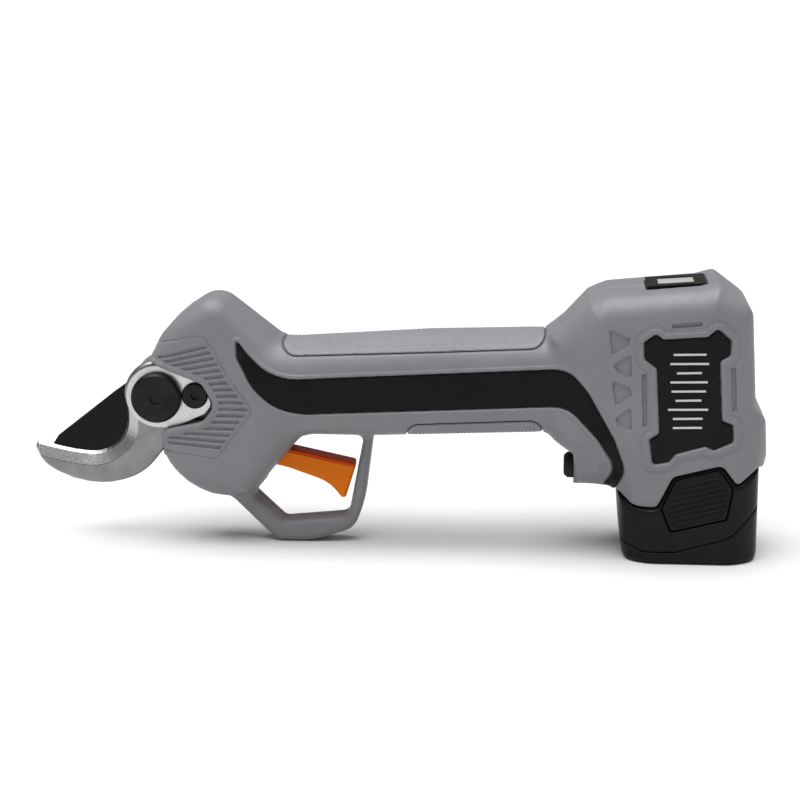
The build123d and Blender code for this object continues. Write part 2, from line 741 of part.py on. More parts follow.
def board_capacitors():
    """Two capacitors lying on the main board."""
    capacitors = Part()
    for x in (90, 99):
        capacitors += Pos(x, -12, 89.8) * Rot(90, 0, 0) * Cylinder(4, 12)
    return capacitors


def heat_sink():
    """Finned heat sink over the power transistors."""
    sink = block((105.5, 126), (-17.5, 17.5), (87.1, 89.6))
    for index in range(8):
        y_low = -17 + index * 4.7
        sink += block((105.5, 126), (y_low, y_low + 1.2), (89.6, 97))
    return sink


def tool_contact_block():
    """Insulator that carries the tool's contact blades."""
    holder = block((104, 126), (-16, 16), (79.4, 83.8))
    return holder - tool_contacts()


def contact_centres():
    """Y positions of the battery contacts."""
    return (-12, -4, 4, 12)


def tool_contacts():
    """Contact blades that reach down into the battery."""
    blades = Part()
    for y in contact_centres():
        blades += block((110, 120), (y - 0.4, y + 0.4), (72, 82))
    return blades


def signal_cable():
    """Cable from the trigger sensor back to the main board."""
    front = [(-45.2, 3, 47.7), (-38, 6, 49.2), (-28, 9.8, 51.4), (24, 10.6, 52)]
    back = [(44, 10.8, 54), (58, 11, 59.5), (70, 11, 64), (77, 10, 76), (79, 9, 84.8)]
    return wire(front + back, 0.7)


def motor_wires():
    """Three phase wires from the motor to the main board."""
    wires = Part()
    for y in (-6, 0, 6):
        wires += wire([(19.2, y, 70), (32, y, 70), (60, y, 71.5), (72, y, 77), (78.8, y, 84.8)], 0.9)
    return wires


# ---------------------------------------------------------------- battery


def battery_plan():
    """Top view of the battery's wide lower body, as a tall prism."""
    size = (144.6 - 87.4, 2 * BATTERY_HALF_WIDTH)
    return Pos(116, 0, -5) * extrude(RectangleRounded(*size, BATTERY_CORNER_RADIUS), amount=60)


def battery_outer():
    """Outside of the battery: the wide lower body and the stem above it."""
    lower = plate(profile(BATTERY_OUTLINE), -BATTERY_HALF_WIDTH - 1, BATTERY_HALF_WIDTH + 1) & battery_plan()
    half_length = STEM_LENGTH / 2
    x_range = (STEM_CENTRE_X - half_length, STEM_CENTRE_X + half_length)
    stem = block(x_range, (-STEM_HALF_WIDTH, STEM_HALF_WIDTH), (12, STEM_TOP))
    stem = fillet(stem.edges().filter_by(Axis.Z), 1.2)
    return lower + stem


def cell_room():
    """Space for the cells and the battery board."""
    return block((STEM_CENTRE_X - 19, STEM_CENTRE_X + 19), (-19.1, 19.1), (2, STEM_TOP - 2))


def latch_pin(radius, x_low, x_high):
    """Round bar along the left latch's hinge line."""
    y, z = LATCH_AXIS
    return Pos((x_low + x_high) / 2, y, z) * Rot(0, 90, 0) * Cylinder(radius, x_high - x_low)


def latch_room():
    """Pocket round the left latch, with the socket of its hinge pin."""
    face = offset(profile(LATCH_OUTLINE), amount=0.35)
    lug = block((111.5, 123.5), (-23, -19.6), (33, 48))
    return plate(face, -30, -20.6) + lug + latch_pin(1.0, 105.5, 120.7)


def contact_slots():
    """Slots in the battery's top for the tool's contact blades."""
    slots = Part()
    for y in contact_centres():
        slots += block((109.4, 120.6), (y - 0.8, y + 0.8), (70, 80))
    return slots


def battery_shell():
    """Battery case with its base cap, before they are parted."""
    shell = battery_outer() - cell_room() - contact_slots()
    return shell - latch_room() - mirrored(latch_room())


def battery_case(shell):
    """Upper part of the battery case."""
    return shell - plate(profile(BASE_CAP_OUTLINE), -30, 30)


def battery_base(shell):
    """Wedge shaped cap that closes the battery's bottom."""
    return shell & plate(offset(profile(BASE_CAP_OUTLINE), amount=-0.1), -30, 30)


def battery_latch():
    """Left latch: a ribbed panel on a hinge pin, with a lug that hides behind the rear block's wall."""
    panel = plate(profile(LATCH_OUTLINE), -24.6, -22.6) + latch_pin(0.85, 105.7, 120.5)
    ribs = Part()
    for index in range(8):
        ribs += Pos(119, -24.8, 19.4 + 2.2 * index) * Rot(0, -14, 0) * Box(21, 0.7, 0.9)
    lug = block((113.5, 121.5), (-22.6, -21.2), (34, 41))
    return panel + (ribs & plate(profile(LATCH_OUTLINE), -26, -22)) + lug


def cell_centres():
    """Centres of the four cells in plan."""
    reach = CELL_PITCH / 2
    return [(STEM_CENTRE_X + dx, dy) for dx in (-reach, reach) for dy in (-reach, reach)]


def battery_cells():
    """Four cylindrical cells."""
    cells = Part()
    for x, y in cell_centres():
        cells += Pos(x, y, 3 + CELL_LENGTH / 2) * Cylinder(CELL_RADIUS, CELL_LENGTH)
        cells += Pos(x, y, 3.2 + CELL_LENGTH) * Cylinder(2.8, 0.4)
    return cells


def cell_trays():
    """Two trays that hold the cells apart."""
    trays = Part()
    for z_low in (6, 60):
        trays += block((STEM_CENTRE_X - 18.9, STEM_CENTRE_X + 18.9), (-19, 19), (z_low, z_low + 4))
    for x, y in cell_centres():
        trays -= Pos(x, y, 35) * Cylinder(CELL_RADIUS + RUNNING_GAP, 80)
    return trays


def battery_board():
    """Protection board above the cells."""
    return block((STEM_CENTRE_X - 17, STEM_CENTRE_X + 17), (-17, 17), (68.6, 69.8))


def battery_contacts():
    """Forked contacts that grip the tool's blades."""
    contacts = Part()
    for y in contact_centres():
        contacts += block((111, 119), (y - 1.3, y - 0.45), (69.8, 74.6))
        contacts += block((111, 119), (y + 0.45, y + 1.3), (69.8, 74.6))
    return contacts


# ---------------------------------------------------------------- output


def main():
    """Write one STEP file per node."""
    shell = housing()
    stripe = side_inlay(STRIPE_OUTLINE)
    label = side_inlay(LABEL_OUTLINE)
    pack_shell = battery_shell()
    latch = battery_latch()
    nodes = {
        "housing_left": housing_half(shell, -1),
        "housing_right": housing_half(shell, 1),
        "grip_pad_top": top_pad(),
        "grip_pad_lower": lower_pad(),
        "stripe_left": stripe,
        "stripe_right": mirrored(stripe),
        "label_plate_left": label,
        "label_plate_right": mirrored(label),
        "housing_screws": housing_screws(),
        "display_bezel": display_bezel(),
        "display_lens": display_lens(),
        "display_board": display_board(),
        "fixed_blade": fixed_blade(),
        "moving_blade": moving_blade(),
        "blade_dowels": blade_dowels(),
        "pivot_bush": pivot_bush(),
        "gear_sector": gear_sector(),
        "bevel_pinion": bevel_pinion(),
        "head_plate_left": head_plate_left(),
        "head_plate_right": head_plate_right(),
        "bearing_block": bearing_block(),
        "pinion_bearings": pinion_bearings(),
        "blade_clamp_screws": blade_clamp_screws(),
        "head_plate_screws": head_plate_screws(),
        "pivot_bolt": pivot_bolt(),
        "pivot_cap": pivot_cap(),
        "pivot_nut": pivot_nut(),
        "pivot_washer": pivot_washer(),
        "lock_screw": lock_screw(),
        "planet_carrier": planet_carrier(),
        "planet_gears": planet_gears(),
        "ring_gear": ring_gear(),
        "gearbox_case": gearbox_case(),
        "motor_can": motor_can(),
        "motor_stator": motor_stator(),
        "motor_rotor": motor_rotor(),
        "motor_shaft": motor_shaft(),
        "motor_end_bell": motor_end_bell(),
        "trigger": trigger(),
        "trigger_magnet": trigger_magnet(),
        "trigger_pin": trigger_pin(),
        "trigger_spring": trigger_spring(),
        "sensor_board": sensor_board(),
        "power_button": power_button(),
        "power_switch": power_switch(),
        "control_board": control_board(),
        "board_capacitors": board_capacitors(),
        "heat_sink": heat_sink(),
        "tool_contact_block": tool_contact_block(),
        "tool_contacts": tool_contacts(),
        "signal_cable": signal_cable(),
        "motor_wires": motor_wires(),
        "battery_case": battery_case(pack_shell),
        "battery_base": battery_base(pack_shell),
        "battery_latch_left": latch,
        "battery_latch_right": mirrored(latch),
        "battery_cells": battery_cells(),
        "cell_trays": cell_trays(),
        "battery_board": battery_board(),
        "battery_contacts": battery_contacts(),
    }
    for name, shape in nodes.items():
        export_step(shape, f"parts/{name}.step")


main()
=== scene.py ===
import itertools
import json
import math

import bmesh
import bpy
import numpy as np
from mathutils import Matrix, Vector


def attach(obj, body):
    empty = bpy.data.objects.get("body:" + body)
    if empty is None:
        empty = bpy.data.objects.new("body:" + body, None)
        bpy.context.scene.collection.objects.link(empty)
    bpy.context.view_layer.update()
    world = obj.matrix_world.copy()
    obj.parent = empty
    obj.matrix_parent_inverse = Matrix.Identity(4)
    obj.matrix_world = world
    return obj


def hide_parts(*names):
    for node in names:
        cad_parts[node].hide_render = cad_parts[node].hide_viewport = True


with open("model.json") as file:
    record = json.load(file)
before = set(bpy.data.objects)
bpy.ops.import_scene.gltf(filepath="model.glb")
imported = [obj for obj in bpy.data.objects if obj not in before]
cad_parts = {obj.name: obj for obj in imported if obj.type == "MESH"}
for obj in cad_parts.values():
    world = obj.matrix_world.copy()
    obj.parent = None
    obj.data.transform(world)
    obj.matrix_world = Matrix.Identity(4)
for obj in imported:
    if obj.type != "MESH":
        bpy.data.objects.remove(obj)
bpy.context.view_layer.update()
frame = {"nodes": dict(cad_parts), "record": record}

# Shapes are worked out in millimetres and become metres when a mesh is made.
MM = 0.001

# Camera
VIEW_AZIMUTH = 4.0
VIEW_ELEVATION = 14.0
VIEW_DISTANCE = 0.8
VIEW_TARGET = Vector((0.0011, 0.0, 0.0585))
LENS = 90.0

# Body
HEAD_HALF = 15.5
HANDLE_HALF = 18.0
GUARD_HALF = 6.0
WALL = 2.6
PAD_DEPTH = 1.3
PAD_SINK = 0.12
DOT_HEIGHT = 0.26
DOT_WAVE = 2.1  # radians per millimetre
INLAY_DEPTH = 0.9
SEAM_GAP = 0.28
SEAT_GAP = 0.4
DISPLAY_CENTRE = (109.0, 107.75)
DISPLAY_TILT = 4.2

# Blades, each between two faces across the tool
PIVOT = (-94.9, 61.0)
BLADE_BORE = 6.05
HOOK_DISC = 13.8
HOOK_FACES = (-8.6, -4.6)
BLADE_DISC = 11.0
BLADE_FACES = (-4.5, -1.3)

# Trigger and button
TRIGGER_HALF = 5.0
TRIGGER_PIN = (-54.6, 40.0)
STRIP_START = -45.0
BUTTON_Z = 33.1
BUTTON_FRONT = 66.6
BUTTON_BACK = 75.4

# Battery in plan, and the ribs of its latches
BATTERY_MIDDLE = 116.0
BATTERY_HALF_LENGTH = 28.6
BATTERY_HALF_WIDTH = 25.0
BATTERY_CORNER = 16.0
LATCH_RIB_PITCH = 2.2

# Closed outlines in the side view as (x, z, corner radius).
HEAD = [
    (-99.2, 71, 1), (-97.4, 77.6, 20), (-92.6, 86.9, 40), (-83.4, 95.7, 50), (-71, 103, 15),
    (-45, 83, 12), (-24, 74, 0), (-24, 54, 0), (-37.6, 45.4, 9), (-58.4, 20.6, 1),
    (-66, 19.4, 2), (-74, 20.2, 20), (-84, 25.2, 30), (-91.2, 33.6, 20), (-95.6, 44, 3),
]
HANDLE = [
    (-72, 70, 2), (-60, 81.8, 10), (14, 86.8, 80), (60, 88.2, 5), (80, 91, 5),
    (80, 52, 5), (59.5, 48.3, 4), (-8, 45.6, 4), (-60, 46, 8),
]
BLOCK = [
    (60, 88.2, 3), (66, 92.6, 6), (75.2, 102.2, 2), (82.5, 105.3, 12), (117.5, 108.6, 6),
    (124.5, 110.6, 3), (137.6, 100.4, 5), (140.2, 62, 6), (144.4, 57, 4), (145.7, 42, 5),
    (144.8, 38.2, 1), (140, 34, 1), (140, 18, 1), (91, 18, 2), (85.6, 25.8, 1.5),
    (72.2, 27, 2), (70.3, 41, 2), (58, 49.6, 12),
]
GUARD = [
    (-74, 24, 2), (-67, 18.2, 2), (-48.5, 0, 6), (-34, 0, 20), (-17, 5.7, 9), (-12.8, 17.5, 40),
    (-9.2, 46, 4), (-8, 52, 2), (-74, 52, 2),
]
GUARD_OPENING = [
    (-57.8, 20.6, 1.5), (-45.4, 8.8, 3), (-19.4, 11.4, 4), (-13, 45.3, 3), (-37.6, 45.3, 9),
]
TRIGGER_SLOT = [(-64, 45.8, 1), (-64, 31, 1), (-52, 26.5, 1), (-36.8, 43, 1), (-38, 45.8, 1)]
WINDOW = [
    (-106, 75.6, 1), (-95.6, 74.6, 2), (-76.5, 67.4, 4), (-71.4, 58.5, 5),
    (-76, 52, 6), (-92.6, 48.2, 3), (-93.4, 38, 0.5), (-106, 38, 0.5),
]
RIB_FIELD = [
    (-93.6, 81.6, 1), (-76.4, 85.4, 1.5), (-72.6, 80.6, 3), (-67.4, 70, 3), (-57.6, 57.6, 2),
    (-69.6, 41, 3), (-72, 38.6, 2), (-92.4, 41.6, 1),
]
STRIPE = [
    (-62.4, 86, 0.6), (-62.3, 78.2, 6), (-56, 66.4, 20), (-47.6, 58.6, 30), (-36, 56.2, 30),
    (68, 61.3, 10), (79.6, 50, 20), (86.4, 38, 10), (81, 24, 0.5), (86, 22, 0.5), (90.6, 37.2, 10),
    (86, 50.2, 20), (75.6, 68.6, 12), (68.2, 76.5, 9), (-41, 70.4, 20), (-50.6, 73.2, 20),
    (-57.4, 79.6, 6),
]
LABEL = [
    (96, 89, 1), (100.6, 92.4, 1.5), (103.4, 90.2, 1), (120.2, 91.4, 1), (123.8, 94.8, 1.5),
    (129.2, 90, 1.5), (129, 84.2, 1), (125.2, 82, 1), (126.8, 58.6, 1), (131, 57, 1),
    (131.5, 50, 1.5), (124, 46.8, 1), (120.6, 48.3, 1), (109.4, 45, 1), (107, 41.8, 1),
    (100.6, 40.6, 1.5), (99.2, 50.8, 1), (102.9, 53.2, 1), (101.2, 78.8, 1), (96.4, 82.4, 1),
]
VENTS = [
    [(83, 93.8, 0.6), (90.6, 90.5, 0.6), (90.2, 87.6, 0.6), (84.1, 83.6, 0.6)],
    [(91.1, 84.4, 0.6), (91.7, 74.8, 0.6), (86.5, 77.2, 0.6), (84.8, 79.9, 0.6)],
    [(84.4, 73.6, 0.6), (91, 71.1, 0.6), (91.9, 68.2, 0.6), (86, 63.8, 0.6)],
    [(91.6, 63.2, 0.6), (92.3, 54, 0.6), (87, 56.4, 0.6), (86.1, 58.9, 0.6)],
    [(106.7, 96.2, 0.5), (117.7, 97.2, 0.5), (117.8, 95.6, 0.5), (106.8, 94.6, 0.5)],
    [(129.6, 79.6, 0.5), (131, 79.6, 0.5), (132.1, 62.2, 0.5), (130.7, 62.2, 0.5)],
    [(95.7, 76.6, 0.5), (97.1, 76.6, 0.5), (98.1, 55.7, 0.5), (96.7, 55.7, 0.5)],
]
TOP_PAD = [(-45.6, 92, 1), (-45, 78.4, 8), (58.8, 83.2, 8), (59, 95, 1)]
LOWER_PAD = [(3.6, 43, 1), (5.4, 52.6, 5), (58, 55.4, 8), (58.6, 44, 1)]
TRIGGER = [
    (-59.6, 43, 3), (-52, 45.4, 2), (-43, 38.6, 3), (-16.6, 32.9, 1.5), (-16.9, 30.5, 1),
    (-21, 17.2, 1.3), (-27.4, 25, 16), (-44, 30.8, 30), (-58.6, 34, 4),
]
FIXED_BLADE = [
    (-145.1, 40.6, 0.5), (-146.2, 38.4, 2), (-142, 31.2, 30), (-131, 25.4, 50), (-117, 23.4, 60),
    (-101.8, 28, 40), (-92.6, 39.6, 30), (-84, 46, 3), (-62.5, 46.5, 1), (-62.5, 52.2, 1),
    (-83.2, 51.4, 1), (-83.6, 69.4, 1), (-62.5, 71.2, 1), (-62.5, 77.4, 1), (-90, 75.6, 8),
    (-108.6, 61, 1), (-108.2, 44.4, 30), (-118, 36.2, 30), (-130, 37, 60),
]
FIXED_EDGE = [
    (-145.4, 40.8, 0), (-130, 37, 60), (-118, 36.2, 30), (-108.2, 44.4, 30), (-108.6, 54, 0),
]
MOVING_BLADE = [
    (-140.2, 37.6, 0.4), (-137.2, 42.4, 2), (-113.4, 61.2, 20), (-101, 70.2, 6), (-90, 66, 4),
    (-90, 52, 4), (-102.6, 46, 20), (-114, 35.4, 30), (-128, 34.4, 30),
]
MOVING_EDGE = [(-140.2, 37.6, 0), (-128, 34.4, 30), (-114, 35.4, 30), (-102.6, 46, 0)]
BATTERY = [
    (86.6, 27.8, 1), (90.4, 0, 3), (143.6, 0, 3), (143.2, 39, 1), (133.7, 31.8, 2),
    (127.4, 40.2, 3), (109, 35.4, 3), (103, 22.6, 2), (94, 22.4, 8),
]
BASE_CAP = [
    (86, 9.6, 1), (97.2, 4.8, 6), (111, 5.1, 6), (131, 10.8, 8), (146, 25.5, 1), (148, -2, 1),
    (86, -2, 1),
]
LATCH = [
    (108.6, 13.2, 1.5), (130, 18.6, 1.5), (132, 31, 2), (126.6, 38.6, 2), (110, 34.2, 2),
    (104.8, 22.6, 2),
]

# Half-width of the rear block along its length, near its top and just above the battery
BLOCK_TOP_X = [56, 61, 76, 80, 124, 132, 147]
BLOCK_TOP_HALF = [17.2, 18.4, 24.9, 25.5, 25.5, 24.6, 19.5]
BLOCK_FOOT_X = [66, 76, 84, 86, 89, 93, 98, 104, 128, 133, 138, 142, 146]
BLOCK_FOOT_HALF = [11, 11.5, 12.5, 14.2, 18, 22.2, 24.7, 25.4, 25.4, 24.8, 22.8, 19.8, 15.5]

# Plain bars on the left label
BAR_COUNT = 9
BAR_X = 113.6
BAR_TOP = 84.5
BAR_PITCH = 3.6
BAR_Y = (-25.42, -25.2)

# Grooves of the ribbed field beside the blades
RIB_COUNT = 17
RIB_PITCH = 2.62

# Housing screws as (x, z, seat of the head from the middle plane)
HOUSING_SCREWS = [
    (-83, 85, 11), (-63, 89, 11), (-83, 33, 11), (-66, 25, 11), (24, 77.8, 13),
    (24, 56.8, 13), (63, 82, 13), (63, 54, 13), (82, 96, 19), (132, 96, 17),
]


# ---------------------------------------------------------------- camera, floor and light


def make_camera():
    """Camera a little above the left side."""
    azimuth = math.radians(VIEW_AZIMUTH)
    elevation = math.radians(VIEW_ELEVATION)
    away = Vector((
        math.sin(azimuth) * math.cos(elevation),
        -math.cos(azimuth) * math.cos(elevation),
        math.sin(elevation),
    ))
    data = bpy.data.cameras.new("camera")
    data.lens = LENS
    data.sensor_width = 36.0
    data.clip_start = 0.01
    camera = bpy.data.objects.new("camera", data)
    camera.location = VIEW_TARGET + away * VIEW_DISTANCE
    camera.rotation_euler = (-away).to_track_quat("-Z", "Y").to_euler()
    bpy.context.scene.collection.objects.link(camera)
    bpy.context.scene.camera = camera


def make_area_light(name, location, target, size, power):
    """Square soft light aimed at a target."""
    data = bpy.data.lights.new(name, "AREA")
    data.size = size
    data.energy = power
    light = bpy.data.objects.new(name, data)
    light.location = location
    light.rotation_euler = (Vector(target) - Vector(location)).to_track_quat("-Z", "Y").to_euler()
    bpy.context.scene.collection.objects.link(light)


def make_floor():
    """Plain pale floor that reaches far past the object."""
    mesh = bpy.data.meshes.new("floor")
    reach = 6.0
    corners = [(-reach, -reach, 0), (reach, -reach, 0), (reach, reach, 0), (-reach, reach, 0)]
    mesh.from_pydata(corners, [], [(0, 1, 2, 3)])
    floor = bpy.data.objects.new("floor", mesh)
    bpy.context.scene.collection.objects.link(floor)
    material = bpy.data.materials.new("floor")
    material.use_nodes = True
    shader = material.node_tree.nodes["Principled BSDF"]
    shader.inputs["Base Color"].default_value = (0.76, 0.76, 0.76, 1)
    shader.inputs["Roughness"].default_value = 0.6
    shader.inputs["Specular IOR Level"].default_value = 0.2
    mesh.materials.append(material)


def make_ceiling_light():
    """Very soft light from overhead."""
    data = bpy.data.lights.new("ceiling", "SUN")
    data.angle = math.radians(60)
    data.energy = 4.4
    ceiling = bpy.data.objects.new("ceiling", data)
    ceiling.rotation_euler = (math.radians(5), math.radians(-6), 0)
    bpy.context.scene.collection.objects.link(ceiling)


def make_light():
    """Even surroundings, a wide light in front and soft light from above."""
    world = bpy.data.worlds.new("studio")
    bpy.context.scene.world = world
    world.use_nodes = True
    background = world.node_tree.nodes["Background"]
    background.inputs["Color"].default_value = (1.0, 1.0, 1.0, 1)
    background.inputs["Strength"].default_value = 0.24
    make_area_light("front", (-0.7, -1.1, 0.7), (0, 0, 0.05), 0.7, 0.4)
    make_ceiling_light()
    bpy.context.scene.view_settings.view_transform = "Standard"


# ---------------------------------------------------------------- outlines and distances


def rounded(corners, closed=True):
    """Points of an outline whose corners are replaced by arcs."""
    points = []
    count = len(corners)
    for index, (x, z, radius) in enumerate(corners):
        at_end = not closed and index in (0, count - 1)
        if radius == 0 or at_end:
            points.append((x, z))
            continue
        here = np.array((x, z), float)
        before = np.array(corners[index - 1][:2], float) - here
        after = np.array(corners[(index + 1) % count][:2], float) - here
        length_before, length_after = np.linalg.norm(before), np.linalg.norm(after)
        before /= length_before
        after /= length_after
        half_angle = math.acos(np.clip(before @ after, -1, 1)) / 2
        reach = min(radius / math.tan(half_angle), 0.48 * length_before, 0.48 * length_after)
        used_radius = reach * math.tan(half_angle)
        middle = (before + after) / np.linalg.norm(before + after)
        centre = here + middle * used_radius / math.sin(half_angle)
        start, end = here + before * reach - centre, here + after * reach - centre
        turn = math.pi - 2 * half_angle
        steps = max(2, int(math.degrees(turn) / 8))
        for step in range(steps + 1):
            part = step / steps
            weight_start = math.sin((1 - part) * turn) / math.sin(turn)
            weight_end = math.sin(part * turn) / math.sin(turn)
            points.append(tuple(centre + start * weight_start + end * weight_end))
    return points


GRID_STEP = 0.4
GRID_X = np.arange(-152, 152, GRID_STEP)
GRID_Z = np.arange(-8, 120, GRID_STEP)


def segment_distances(points, closed):
    """Distance from every table point to the nearest segment, and the inside mask."""
    grid_x, grid_z = np.meshgrid(GRID_X, GRID_Z, indexing="ij")
    nearest = np.full(grid_x.shape, 1e9)
    inside = np.zeros(grid_x.shape, bool)
    pairs = list(zip(points, points[1:]))
    if closed:
        pairs.append((points[-1], points[0]))
    for (x1, z1), (x2, z2) in pairs:
        run_x, run_z = x2 - x1, z2 - z1
        square = run_x * run_x + run_z * run_z
        if square < 1e-12:
            continue
        along = np.clip(((grid_x - x1) * run_x + (grid_z - z1) * run_z) / square, 0, 1)
        gap = (grid_x - x1 - along * run_x) ** 2 + (grid_z - z1 - along * run_z) ** 2
        nearest = np.minimum(nearest, gap)
        if z1 != z2:
            crosses = (grid_z < z1) != (grid_z < z2)
            inside ^= crosses & (grid_x < run_x * (grid_z - z1) / run_z + x1)
    return np.sqrt(nearest), inside


def outline_table(corners):
    """Signed distance to a closed outline, negative inside, over the side view."""
    distance, inside = segment_distances(rounded(corners), True)
    return np.where(inside, -distance, distance)


def line_table(corners):
    """Distance to an open line, over the side view."""
    return segment_distances(rounded(corners, closed=False), False)[0]


def look_up(table, x, z):
    """Value of a table at any points of the side view."""
    column = np.clip((x - GRID_X[0]) / GRID_STEP, 0, len(GRID_X) - 1.001)
    row = np.clip((z - GRID_Z[0]) / GRID_STEP, 0, len(GRID_Z) - 1.001)
    column, row = np.broadcast_arrays(column, row)
    i, j = column.astype(int), row.astype(int)
    u, w = column - i, row - j
    low = table[i, j] * (1 - w) + table[i, j + 1] * w
    high = table[i + 1, j] * (1 - w) + table[i + 1, j + 1] * w
    return low * (1 - u) + high * u


def round_join(first, second, radius):
    """What two shapes have in common, with a rounded edge where they meet."""
    first, second = first + radius, second + radius
    outside = np.hypot(np.maximum(first, 0), np.maximum(second, 0))
    return np.minimum(np.maximum(first, second), 0) + outside - radius


def bevel_join(first, second, edge):
    """What two shapes have in common, with a bevel where they meet."""
    bevel = (first + second + edge) * math.sqrt(0.5)
    return np.maximum(np.maximum(first, second), bevel)


def slab(distance, y, half, edge):
    """Outline given a thickness of two halves, with round edges."""
    return round_join(distance, np.abs(y) - half, edge)


def merged(first, second, blend):
    """Union with a soft fillet of about the given size."""
    mix = np.clip(0.5 + 0.5 * (second - first) / blend, 0, 1)
    return second * (1 - mix) + first * mix - blend * mix * (1 - mix)


def cut(shape, tool, edge=0.0):
    """Shape with a tool taken away, with a small bevel along the new edge."""
    if edge == 0:
        return np.maximum(shape, -tool)
    return bevel_join(shape, -tool, edge)


def mask(distance, softness=0.4):
    """1 inside an outline and 0 outside it, with a narrow ramp between."""
    return np.clip(0.5 - distance / softness, 0, 1)


def from_pivot(x, z):
    """Distance from the pivot of the blades in the side view."""
    return np.hypot(x - PIVOT[0], z - PIVOT[1])


def box_distance(x, y, z, low, high):
    """Distance to a box given by two corners."""
    parts = []
    for value, start, end in zip((x, y, z), low, high):
        parts.append(np.abs(value - (start + end) / 2) - (end - start) / 2)
    return np.maximum(np.maximum(parts[0], parts[1]), parts[2])


TABLES = {
    "head": outline_table(HEAD),
    "handle": outline_table(HANDLE),
    "block": outline_table(BLOCK),
    "guard": np.maximum(outline_table(GUARD), -outline_table(GUARD_OPENING)),
    "slot": outline_table(TRIGGER_SLOT),
    "window": outline_table(WINDOW),
    "ribs": outline_table(RIB_FIELD),
    "stripe": outline_table(STRIPE),
    "label": outline_table(LABEL),
    "top_pad": outline_table(TOP_PAD),
    "lower_pad": outline_table(LOWER_PAD),
    "trigger": outline_table(TRIGGER),
    "fixed": outline_table(FIXED_BLADE),
    "fixed_edge": line_table(FIXED_EDGE),
    "moving": outline_table(MOVING_BLADE),
    "moving_edge": line_table(MOVING_EDGE),
    "battery": outline_table(BATTERY),
    "base": outline_table(BASE_CAP),
    "latch": outline_table(LATCH),
    "vents": np.minimum.reduce([outline_table(vent) for vent in VENTS]),
}


def side(name, x, z):
    """Signed distance to a named outline."""
    return look_up(TABLES[name], x, z)


# ---------------------------------------------------------------- meshes from distances


def net_vertices(values, cells):
    """Mean edge crossing of every cell the surface passes through, in grid units."""
    total = np.zeros((len(cells), 3))
    crossings = np.zeros(len(cells))
    corners = list(itertools.product((0, 1), repeat=3))
    for start, end in itertools.combinations(corners, 2):
        if sum(abs(a - b) for a, b in zip(start, end)) != 1:
            continue
        value_start = values[tuple((cells + start).T)]
        value_end = values[tuple((cells + end).T)]
        crosses = (value_start < 0) != (value_end < 0)
        span = np.where(crosses, value_start - value_end, 1)
        share = np.where(crosses, value_start / span, 0)
        point = np.array(start) + share[:, None] * (np.array(end) - np.array(start))
        total += point * crosses[:, None]
        crossings += crosses
    return cells + total / crossings[:, None]


def net_faces(inside, index):
    """One quad round every grid edge that the surface crosses."""
    faces = []
    for axis in range(3):
        other = [a for a in range(3) if a != axis]
        low = [slice(1, -1)] * 3
        high = [slice(1, -1)] * 3
        low[axis], high[axis] = slice(0, -1), slice(1, None)
        first, second = inside[tuple(low)], inside[tuple(high)]
        for leaving in (True, False):
            crossing = (first & ~second) if leaving else (~first & second)
            nodes = np.argwhere(crossing)
            nodes[:, other[0]] += 1
            nodes[:, other[1]] += 1
            ring = []
            for step_a, step_b in ((0, 0), (-1, 0), (-1, -1), (0, -1)):
                cell = nodes.copy()
                cell[:, other[0]] += step_a
                cell[:, other[1]] += step_b
                ring.append(index[tuple(cell.T)])
            quads = np.stack(ring, axis=1)
            if leaving == (axis == 1):
                quads = quads[:, ::-1]
            faces.append(quads)
    return np.concatenate(faces)


def gradient(distance, points, step=0.12):
    """Direction in which the distance grows, at each point."""
    slopes = []
    for axis in range(3):
        offset = np.zeros(3)
        offset[axis] = step
        ahead, behind = points + offset, points - offset
        slopes.append((distance(*ahead.T) - distance(*behind.T)) / (2 * step))
    return np.stack(slopes, axis=1)


def settle(distance, points, cell):
    """Points pulled onto the surface, never by more than part of a cell."""
    for _ in range(2):
        slope = gradient(distance, points)
        size = np.maximum((slope ** 2).sum(axis=1), 0.05)
        move = -(distance(*points.T) / size)[:, None] * slope
        length = np.linalg.norm(move, axis=1, keepdims=True)
        points = points + move * np.minimum(1, 0.4 * cell / np.maximum(length, 1e-9))
    return points


def surface_mesh(name, distance, low, high, cell):
    """Closed mesh of the zero surface of a distance function between two corners."""
    axes = [np.arange(start - 2 * cell, end + 3 * cell, cell) for start, end in zip(low, high)]
    x, y, z = axes[0][:, None, None], axes[1][None, :, None], axes[2][None, None, :]
    values = np.ascontiguousarray(np.broadcast_to(distance(x, y, z), [len(a) for a in axes]))
    inside = values < 0
    counts = np.zeros([size - 1 for size in inside.shape], np.int8)
    for corner in itertools.product((0, 1), repeat=3):
        window = [slice(start, start + size) for start, size in zip(corner, counts.shape)]
        counts += inside[tuple(window)]
    active = (counts > 0) & (counts < 8)
    index = np.full(active.shape, -1)
    index[active] = np.arange(active.sum())
    grid_points = net_vertices(values, np.argwhere(active))
    points = grid_points * cell + np.array([a[0] for a in axes])
    points = settle(distance, points, cell)
    mesh = bpy.data.meshes.new(name)
    mesh.from_pydata((points * MM).tolist(), [], net_faces(inside, index).tolist())
    return mesh


def thinned(mesh, ratio):
    """Mesh with fewer faces where it is flat."""
    holder = bpy.data.objects.new("thinning", mesh)
    bpy.context.scene.collection.objects.link(holder)
    modifier = holder.modifiers.new("thin", "DECIMATE")
    modifier.ratio = ratio
    graph = bpy.context.evaluated_depsgraph_get()
    result = bpy.data.meshes.new_from_object(holder.evaluated_get(graph))
    bpy.data.objects.remove(holder)
    return result


